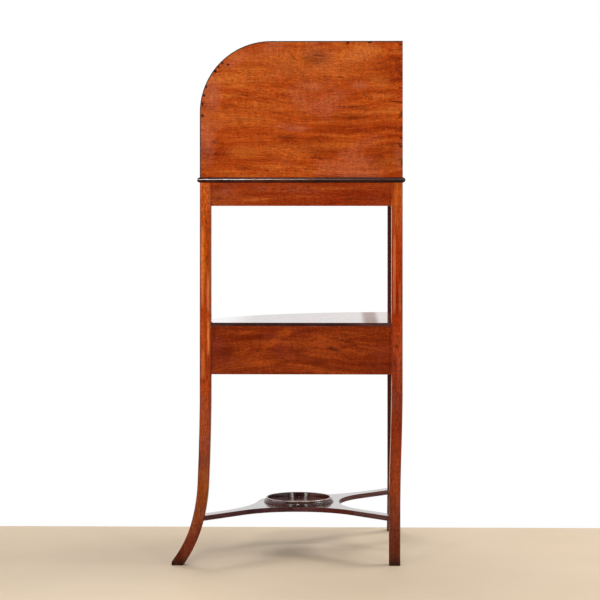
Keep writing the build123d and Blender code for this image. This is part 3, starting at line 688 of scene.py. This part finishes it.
# the back leg's palest strip, by its inner arris, is a painted reflection of the white surroundings
backWearAndPaintedLightStrips = (
    (0.0231, 0.0250, 0.8, "e0b8a0", 0.53, 0.77), (0.0231, 0.0250, 0.8, "e0b8a0", 0.17, 0.40),
    (0.0206, 0.0229, 0.4, "7a2c14", 0.53, 0.72), (0.0206, 0.0250, 0.55, "6a2414", 0.41, 0.515),
    (0.0150, 0.0204, 0.35, "f09458", 0.54, 0.70), (0.0030, 0.0096, 0.35, "8a3410", 0.62, 0.78),
    (0.0040, 0.0085, 0.3, "e08c54", 0.54, 0.60), (0.0140, 0.0225, 0.35, "64200c", 0.36, 0.44),
    (-0.0010, 0.0030, 0.4, "8a4a34", 0.0, 0.82),
)
legLooks = {
    "front_leg_right": {"tint": frontTintAndShade, "stripWay": alongRight, "strips": frontWearAndPaintedLightStrips, "sway": frontSway,
                        "paintedShadeWay": (-diagonalPart, diagonalPart, 0)},
    "front_leg_left": {"tint": frontTintAndShade, "stripWay": alongLeft, "strips": frontWearAndPaintedLightStrips, "sway": frontSway,
                       "paintedShadeWay": outOfRight},
    "back_leg": {"tint": backTintAndShade, "stripWay": alongRight, "strips": backWearAndPaintedLightStrips,
                 "sway": ((0.34, 0.155, 0.005),), "paintedShadeWay": (0, -1, 0)},
}
leg = {"figure": 0.6, "ease": 0.0004}
for name, look in legLooks.items():
    material = woodMaterial(name + "Wood", "leg", "upright", leg["figure"], legMarks.get(name), legLook=look)
    finishPiece(name + "_eased", easedCopy(name, leg["ease"]), [name], material)
print("legs made")

# Rails, boards and fronts keep their shape and get softened arrises
apronMarks = photoMarks(
    dark=(
        (334, 350, 13, 2.0, 14, 0.7), (348, 342, 34, 2.6, 12, 0.4), (225, 352, 14, 10, 0, 0.4),
        (300, 352, 9, 12, 20, 0.35), (213, 333, 6, 12, 0, 0.5), (316, 362, 16, 7, 0, 0.35),
        (222, 333, 10, 2.0, -6, 0.5), (240, 366, 16, 1.4, -6, 0.4), (308, 331, 22, 2.0, 4, 0.3),
        (372, 366, 20, 2.0, 10, 0.4), (214, 361, 6, 2.5, 10, 0.45), (332, 368, 26, 1.4, 4, 0.3),
        (211.6, 350, 1.4, 40, 0, 0.6), (389.8, 350, 1.2, 40, 0, 0.5),
    ),
    light=(
        (285, 333, 15, 6, -20, 0.6), (272, 343, 20, 5, -35, 0.45), (262, 364, 26, 5, -6, 0.6),
        (302, 366, 34, 2.4, 6, 0.5), (356, 334, 30, 2.6, 8, 0.3), (246, 333, 16, 2.4, -14, 0.4),
        (370, 348, 24, 2.0, 14, 0.35), (322, 338, 20, 3.0, 16, 0.3), (240, 352, 18, 2.2, -18, 0.3),
    ),
    rosy=((217, 345, 12, 16, 0, 0.5), (380, 352, 14, 14, 0, 0.4)),
    nicks=((331, 347.5, 4.0, 1.2, 14, 0.5), (209, 336, 1.5, 1.5, 0, 0.3)),
)
friezeMarks = photoMarks(
    dark=(
        (216, 193, 8, 12, 0, 0.45), (352, 199.5, 14, 1.4, 0, 0.6), (372, 199.8, 8, 1.2, 0, 0.6),
        (300, 190, 40, 2.0, 0, 0.25), (250, 195, 30, 1.4, 0, 0.25), (384, 194, 6, 12, 0, 0.35),
        (211.6, 194, 1.4, 30, 0, 0.55), (389.8, 194, 1.2, 30, 0, 0.4), (330, 195, 28, 1.2, 0, 0.3),
    ),
    light=((256, 200, 22, 2.2, -4, 0.35), (340, 189, 40, 2.0, 0, 0.15), (304, 197, 28, 2.0, 0, 0.15)),
    rosy=((226, 191, 12, 8, 0, 0.6), (262, 189, 14, 4, 0, 0.4)),
)
# each board with its grain, its tone and how much its arrises are eased
boards = {
    "top_board": ("across", "shelf", 0.0005),
    "frieze_right": ("right", "frieze", 0.0005),
    "frieze_left": ("left", "frieze", 0.0005),
    "frieze_bow": ("across", "frieze", 0.0005),
    "shelf_board": ("across", "shelf", 0.0),
    "apron_right": ("right", "apron", 0.0006),
    "apron_left": ("left", "apron", 0.0006),
    "bow_rail": ("across", "apron", 0.0006),
    "dummy_front_right": ("across", "panel", 0.0003),
    "dummy_front_left": ("across", "panel", 0.0003),
    "dummy_cockbead_right": ("across", "frieze", 0.0007),
    "dummy_cockbead_left": ("across", "frieze", 0.0007),
    "divider_right": ("upright", "apron", 0.0003),
    "divider_left": ("upright", "apron", 0.0003),
    "drawer_front": ("across", "panel", 0.0003),
    "drawer_cockbead": ("across", "frieze", 0.0007),
}
# marks, and how strongly the lines of the grain bend
boardMarks = {"apron_right": (apronMarks, 3.0), "frieze_right": (friezeMarks, 1.0)}
plainBoard = (None, 1.0)
easeSteps = 3
for name, (grain, tone, ease) in boards.items():
    marks, figure = boardMarks.get(name, plainBoard)
    shift = rightShift if marks else None
    material = woodMaterial(name + "Wood", tone, grain, figure, marks, shift=shift)
    finishPiece(name + "_eased", easedCopy(name, ease, easeSteps), [name], material)

# Polish on the shelf, with a painted darker reflection, by distances from the back corner along the right
# side
shelfPolishAndReflection = {
    "brightFrom": 0.315,
    "brightTo": 0.385,
    "leastCoat": 0.12,
    "stripNear": 0.053,
    "stripFar": 0.082,
    "stripEdge": 0.008,
    "stripDulling": 0.3,
    # colour of the painted darker reflection in the strip
    "strip": "6e3c22",
}


def polishShelfAndPaintReflection(material):
    # brightest polish towards the right front leg, and near the back corner a strip of duller polish whose
    # browner colour is a painted darker reflection
    tree = material.node_tree
    shader = tree.nodes["Principled BSDF"]
    coords = addNode(tree, "ShaderNodeTexCoord").outputs["Object"]
    along = calc(tree, "ADD", dotWith(tree, coords, alongRight), cornerShift)
    coat = spread(tree, along, shelfPolishAndReflection["brightFrom"], shelfPolishAndReflection["brightTo"],
                  shelfPolishAndReflection["leastCoat"], 1.0)
    tree.links.new(coat, shader.inputs["Coat Weight"])
    dull = band(tree, along, shelfPolishAndReflection["stripNear"], shelfPolishAndReflection["stripFar"], shelfPolishAndReflection["stripEdge"])
    roughness = shader.inputs["Roughness"].links[0].from_socket
    rougher = calc(tree, "ADD", roughness, calc(tree, "MULTIPLY", dull, shelfPolishAndReflection["stripDulling"]))
    tree.links.new(rougher, shader.inputs["Roughness"])
    color = shader.inputs["Base Color"].links[0].from_socket
    tree.links.new(blendColor(tree, dull, color, tint(shelfPolishAndReflection["strip"])), shader.inputs["Base Color"])


polishShelfAndPaintReflection(bpy.data.materials["shelf_boardWood"])

lipping = {
    "grains": {"shelf_edge_right": "right", "shelf_edge_left": "left", "shelf_edge_bow": "across"},
    "ease": 0.00015,
    "edgeColors": ("2c1210", "3c1c17", "522a1e"),
    "edgeGloss": 0.3,
    "topColors": ("3a1a14", "4a241a", "6a3c28"),
    "topGloss": 0.08,
}
for name, grain in lipping["grains"].items():
    edgeWood = ebonisedMaterial(name + "Wood", grain, lipping["edgeColors"], lipping["edgeGloss"])
    topWood = ebonisedMaterial(name + "Top", grain, lipping["topColors"], lipping["topGloss"])
    mesh = easedCopy(name, lipping["ease"])
    finishPiece(name + "_eased", mesh, [name], edgeWood, topMaterial=topWood)

oakParts = {
    "ease": 0.0003,
    "grains": {
        "drawer_side_right": "deep",
        "drawer_side_left": "deep",
        "drawer_back": "across",
        "drawer_bottom": "across",
        "runner_right": "across",
        "runner_left": "across",
        "drawer_stops": "across",
        "top_glue_blocks": "across",
        "shelf_glue_blocks": "across",
    },
}
for name, grain in oakParts["grains"].items():
    material = woodMaterial(name + "Oak", "oak", grain)
    finishPiece(name + "_eased", easedCopy(name, oakParts["ease"]), [name], material)
print("boards and drawer made")

# Stretcher: dark at its edges and polished on top, with a moulded ring
stretcher = {"ease": 0.0003, "grains": {"stretcher_board": "across", "stretcher_arm": "deep"}}
for name, grain in stretcher["grains"].items():
    edgeWood = woodMaterial(name + "Edge", "stretcher", grain)
    topWood = woodMaterial(name + "Top", "stretcherTop", grain)
    mesh = easedCopy(name, stretcher["ease"])
    finishPiece(name + "_eased", mesh, [name], edgeWood, topMaterial=topWood)

ring = {
    "centre": 0.2255,  # from the back corner along both sides
    "foot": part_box("jug_ring")[0].z,
    "profile": (  # radius and height above the foot, in millimetres
        (68.0, 0), (77.9, 0), (78.0, 0.2), (78.0, 1.4), (77.8, 1.7), (76.6, 1.9), (76.4, 2.2), (76.2, 3.4),
        (75.6, 4.8), (74.7, 6.0), (73.7, 6.8), (72.8, 7.1), (72.5, 7.3), (72.4, 7.7), (72.5, 8.8),
        (72.4, 9.0), (71.2, 10.2), (71.1, 10.3), (70.9, 10.3), (70.2, 10.2), (69.3, 9.8), (69.0, 9.2),
        (68.2, 1.2), (68.0, 0),
    ),
    "steps": 144,
    "smoothAngle": 40,
    # colour of the painted highlight along the rim
    "rubbed": "cbb2a6",
    "rubbedHeights": (0.0078, 0.0092),  # above the foot, where the painted highlight starts and is full
    "rubbedRadii": (0.0704, 0.0712),
}


def paintRimHighlight(material):
    # a painted highlight along the top of the rim's outer side, broken into patches
    tree = material.node_tree
    shader = tree.nodes["Principled BSDF"]
    coords = addNode(tree, "ShaderNodeTexCoord").outputs["Object"]
    patchy = spread(tree, noise(tree, coords, (60, 60, 60), 3.0, 0.6), 0.3, 0.6, 0.45, 0.9)
    starts, full = (ring["foot"] + height for height in ring["rubbedHeights"])
    rubbed = calc(tree, "MULTIPLY", spread(tree, heightOf(tree, coords), starts, full), patchy)
    middle = cornerToStand @ Vector((ring["centre"], ring["centre"], 0))
    fromMiddle = calcVector(tree, "SUBTRACT", coords, tuple(middle))
    out = calcVector(tree, "LENGTH", calcVector(tree, "MULTIPLY", fromMiddle, (1, 1, 0)))
    rubbed = calc(tree, "MULTIPLY", rubbed, spread(tree, out, *ring["rubbedRadii"]))
    color = shader.inputs["Base Color"].links[0].from_socket
    tree.links.new(blendColor(tree, rubbed, color, tint(ring["rubbed"])), shader.inputs["Base Color"])


ringMesh = turned(ring["profile"], ring["steps"])
ringPlace = cornerToStand @ Vector((ring["centre"], ring["centre"], ring["foot"]))
bmesh.ops.translate(ringMesh, verts=ringMesh.verts, vec=ringPlace)
ringWood = woodMaterial("ringWood", "ring", "across")
# paints the rim's highlight into its colour
paintRimHighlight(ringWood)
finishPiece("jugRing_moulded", ringMesh, ["jug_ring"], ringWood, ring["smoothAngle"])
print("stretcher and ring made")

# Turned brass knobs, each with a threaded shank through its front
knobLow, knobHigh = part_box("drawer_knob")
knob = {
    "outline": (  # radius and distance out from the front, in millimetres
        (2.2, 0.0), (8.2, 0.0), (8.5, 0.25), (8.4, 0.8), (7.6, 1.3), (6.4, 1.7), (5.2, 2.2), (4.4, 3.0),
        (3.8, 4.4), (3.6, 6.4), (3.9, 8.6), (5.0, 10.4), (7.2, 12.0), (9.2, 13.4), (10.2, 14.6),
        (10.5, 15.6), (10.3, 16.3), (9.7, 16.9), (9.3, 17.0), (9.0, 17.2), (8.0, 17.9), (6.4, 18.5),
        (3.6, 18.9), (0.0, 19.0),
    ),
    "steps": 64,
    "smoothAngle": 50,
    "shank": 2.2,
    "shankTip": 1.8,
    "tipLength": 0.5,
    "pastFront": 5.2,  # how far the shank stands out behind the front
    "drawerFront": 16,
    "dummyFront": 14,
    "height": (knobLow.z + knobHigh.z) / 2,
    "dummyAngle": 15.652,
    "nutEase": 0.0003,
}


def knobMesh(frontThickness):
    end = -frontThickness - knob["pastFront"]
    shank = [(0.0, end), (knob["shankTip"], end), (knob["shank"], end + knob["tipLength"])]
    return turned(shank + list(knob["outline"]), knob["steps"])


def bowPlace(angle):
    # from a piece turned about Z to its place on the bow, at an angle from the left side
    lying = Matrix.Rotation(math.radians(90), 4, "Y")
    onBow = Matrix.Translation((stand["bowRadius"], 0, knob["height"]))
    return cornerToStand @ Matrix.Rotation(math.radians(angle), 4, "Z") @ onBow @ lying


brass = metalMaterial("agedBrass", "c9a050", "8a6a30", 0.22, 90)
steel = metalMaterial("dullSteel", "8c8a86", "4a4642", 0.45, 200)
drawerKnob = joined([(knobMesh(knob["drawerFront"]), bowPlace(45))])
dummyAngles = (knob["dummyAngle"], 90 - knob["dummyAngle"])
dummyKnobs = joined([(knobMesh(knob["dummyFront"]), bowPlace(angle)) for angle in dummyAngles])
finishPiece("drawerKnob_turned", drawerKnob, ["drawer_knob"], brass, knob["smoothAngle"])
finishPiece("dummyKnobs_turned", dummyKnobs, ["dummy_knobs"], brass, knob["smoothAngle"])
for name in ("drawer_knob_nut", "dummy_knob_nuts"):
    finishPiece(name + "_eased", easedCopy(name, knob["nutEase"]), [name], brass)

# Countersunk screws, each with a slot across its head, driven up from under the top board.
# Their sizes are in millimetres.
screw = {
    "outline": (  # radius and height above the underside of the board
        (0.0, 33.0), (1.2, 32.2), (1.8, 31.0), (1.8, 2.0), (3.5, 0.2), (3.55, 0.0), (2.9, 0.0), (0.0, 0.0),
    ),
    "steps": 40,
    "slotHalf": 0.4,
    "slotReach": 2.9,
    "slotDeep": 0.5,
    "places": (60, 350),  # from the back corner along each side
    "inset": 4.25,
    "slotTurn": 35,
    "otherTurn": 70,  # the screws of the other side are turned by this much more
}


def screwMesh():
    mesh = turned(screw["outline"], screw["steps"])
    for way in (-1, 1):
        geom = mesh.verts[:] + mesh.edges[:] + mesh.faces[:]
        sideOfSlot = (0, way * screw["slotHalf"] / 1000, 0)
        bmesh.ops.bisect_plane(mesh, geom=geom, dist=0.0000001, plane_co=sideOfSlot, plane_no=(0, 1, 0))
    mesh.normal_update()
    middle = []
    for face in mesh.faces:
        centre = face.calc_center_median() * 1000
        inSlot = abs(centre.y) < screw["slotHalf"] and centre.xy.length < screw["slotReach"]
        if face.normal.z < -0.9 and inSlot:
            middle.append(face)
    sunk = bmesh.ops.extrude_face_region(mesh, geom=middle)["geom"]
    for vertex in sunk:
        if isinstance(vertex, bmesh.types.BMVert):
            vertex.co.z += screw["slotDeep"] / 1000
    bmesh.ops.recalc_face_normals(mesh, faces=mesh.faces)
    return mesh


screwParts = []
for along in screw["places"]:
    for number, place in enumerate(((along, screw["inset"]), (screw["inset"], along))):
        at = Matrix.Translation((place[0] / 1000, place[1] / 1000, stand["legTop"]))
        angle = screw["slotTurn"] + along + screw["otherTurn"] * number
        turn = Matrix.Rotation(math.radians(angle), 4, "Z")
        screwParts.append((screwMesh(), cornerToStand @ at @ turn))
finishPiece("panelScrews_slotted", joined(screwParts), ["splash_screws"], steel)
print("fittings made")


# Floor, backdrop, light and camera
def sidePlace(along, out, height):
    # along the right side from the back corner, out from its face, and up
    corner = cornerToStand @ Vector((-out, along, 0))
    return Vector((corner.x, corner.y, height))


def leftPlace(along, out, height):
    place = sidePlace(along, out, height)
    return Vector((-place.x, place.y, height))


def floorMaterial():
    material, tree, shader, coords = newSurface("paleFloor", {"Roughness": 0.6, "Specular IOR Level": 0.15})
    soft = noise(tree, coords, (5, 5, 5), 4.0, 0.6)
    color = blendColor(tree, spread(tree, soft, 0.3, 0.7), tint("d2bea3"), tint("d5c1a7"))
    tree.links.new(color, shader.inputs["Base Color"])
    return material


def flagMaterial():
    material, tree, shader, coords = newSurface("darkFlag", {"Roughness": 0.9, "Specular IOR Level": 0.0})
    soft = noise(tree, coords, (2, 2, 2), 2.0, 0.5)
    tree.links.new(blendColor(tree, soft, tint("181614"), tint("221f1c")), shader.inputs["Base Color"])
    return material


def backdropMaterial():
    # white where the camera sees its front, clear for all else
    material, tree = emptyMaterial("whiteBackdrop")
    seen = addNode(tree, "ShaderNodeLightPath").outputs["Is Camera Ray"]
    back = addNode(tree, "ShaderNodeNewGeometry").outputs["Backfacing"]
    front = calc(tree, "MULTIPLY", seen, calc(tree, "SUBTRACT", 1.0, back))
    clear = addNode(tree, "ShaderNodeBsdfTransparent").outputs[0]
    white = addNode(tree, "ShaderNodeEmission", {"Color": (1, 1, 1, 1), "Strength": 1.0}).outputs[0]
    mixed = addNode(tree, "ShaderNodeMixShader", {0: front, 1: clear, 2: white}).outputs[0]
    output = addNode(tree, "ShaderNodeOutputMaterial")
    tree.links.new(mixed, output.inputs["Surface"])
    return material


def flatStage(name, width, height, matrix, material):
    mesh = bmesh.new()
    bmesh.ops.create_grid(mesh, x_segments=1, y_segments=1, size=0.5)
    bmesh.ops.scale(mesh, vec=(width, height, 1), verts=mesh.verts)
    bmesh.ops.transform(mesh, matrix=matrix, verts=mesh.verts)
    data = bpy.data.meshes.new(name)
    mesh.to_mesh(data)
    mesh.free()
    data.materials.append(material)
    piece = bpy.data.objects.new(name, data)
    bpy.context.scene.collection.objects.link(piece)
    return piece


stage = {
    "floorSize": 14,
    "wallBehind": 0.52,
    "wallSize": 30,
    "flagAlong": 0.2,
    "flagOut": 5.4,
    "flagWidth": 6.0,
    "flagHeight": 3.4,
}
sideTurn = Vector(outOfRight).to_track_quat("Z", "Y").to_matrix().to_4x4()
flatStage("studioFloor", stage["floorSize"], stage["floorSize"], Matrix.Identity(4), floorMaterial())
wallPlace = Matrix.Translation(sidePlace(0, -stage["wallBehind"], 0)) @ sideTurn
flatStage("studioBackdrop", stage["wallSize"], stage["wallSize"], wallPlace, backdropMaterial())
# a dark card behind the camera keeps white glare off the polish, as a photographer's flag does
flagMiddle = sidePlace(stage["flagAlong"], stage["flagOut"], stage["flagHeight"] / 2)
flagPlace = Matrix.Translation(flagMiddle) @ sideTurn
flag = flatStage("studioFlag", stage["flagWidth"], stage["flagHeight"], flagPlace, flagMaterial())
flag.visible_camera = False


def softbox(name, place, target, width, height, watts):
    data = bpy.data.lights.new(name, "AREA")
    data.shape = "RECTANGLE"
    data.size = width
    data.size_y = height
    data.energy = watts
    lamp = bpy.data.objects.new(name, data)
    lamp.location = place
    lamp.rotation_euler = (Vector(target) - Vector(place)).to_track_quat("-Z", "Y").to_euler()
    lamp.visible_camera = False
    bpy.context.scene.collection.objects.link(lamp)


standMiddle = (0, 0, 0.7)
lowMiddle = (0, 0, 0.6)
# each softbox with its place, what it points at, its width and height, and its watts
softboxes = {
    "keySoftbox": (sidePlace(0.36, 3.0, 2.15), sidePlace(0.25, 0, 0.82), 0.72, 0.15, 33),
    "windowRight": (sidePlace(1.95, 3.4, 1.2), lowMiddle, 0.55, 1.8, 28),
    "windowLeft": (sidePlace(-1.55, 3.5, 1.2), lowMiddle, 0.55, 1.8, 28),
    "leftSoftbox": (leftPlace(0.6, 2.6, 3.6), standMiddle, 2.0, 2.0, 80),
    "bowSoftbox": ((-1.2, -2.8, 3.4), standMiddle, 2.0, 1.6, 50),
    "topSoftbox": ((0.2, 0.3, 4.2), standMiddle, 2.6, 2.6, 26),
}
for name, setup in softboxes.items():
    softbox(name, *setup)

world = bpy.data.worlds.new("studioWorld")
bpy.context.scene.world = world
world.use_nodes = True
worldTree = world.node_tree
worldTree.nodes.clear()
rays = addNode(worldTree, "ShaderNodeLightPath").outputs
seen = calc(worldTree, "ADD", rays["Is Camera Ray"], rays["Is Glossy Ray"])
seen = calc(worldTree, "ADD", seen, rays["Is Transmission Ray"], clamp=True)
fillStrength = 0.36  # what the white surroundings give the surfaces
strength = spread(worldTree, seen, 0.0, 1.0, fillStrength, 1.0, "LINEAR")
sky = addNode(worldTree, "ShaderNodeBackground", {"Color": (1, 1, 1, 1), "Strength": strength}).outputs[0]
skyOutput = addNode(worldTree, "ShaderNodeOutputWorld")
worldTree.links.new(sky, skyOutput.inputs["Surface"])

view = {
    "azimuth": 136.27,
    "height": 0.773,
    "distance": 4.36,
    "sensor": 36,
    "lens": 123.5,
    "shiftY": -0.165,
    "aimAlong": 0.2175,
}
azimuth = math.radians(view["azimuth"])
backWay = Vector((math.sin(azimuth), -math.cos(azimuth), 0))
cameraData = bpy.data.cameras.new("studioCamera")
cameraData.lens = view["lens"]
cameraData.sensor_width = view["sensor"]
cameraData.shift_y = view["shiftY"]
camera = bpy.data.objects.new("studioCamera", cameraData)
camera.location = sidePlace(view["aimAlong"], 0, view["height"]) + backWay * view["distance"]
camera.rotation_euler = (-backWay).to_track_quat("-Z", "Y").to_euler()
bpy.context.scene.collection.objects.link(camera)
bpy.context.scene.camera = camera
bpy.context.scene.view_settings.view_transform = "Standard"
print("stage, light and camera set")
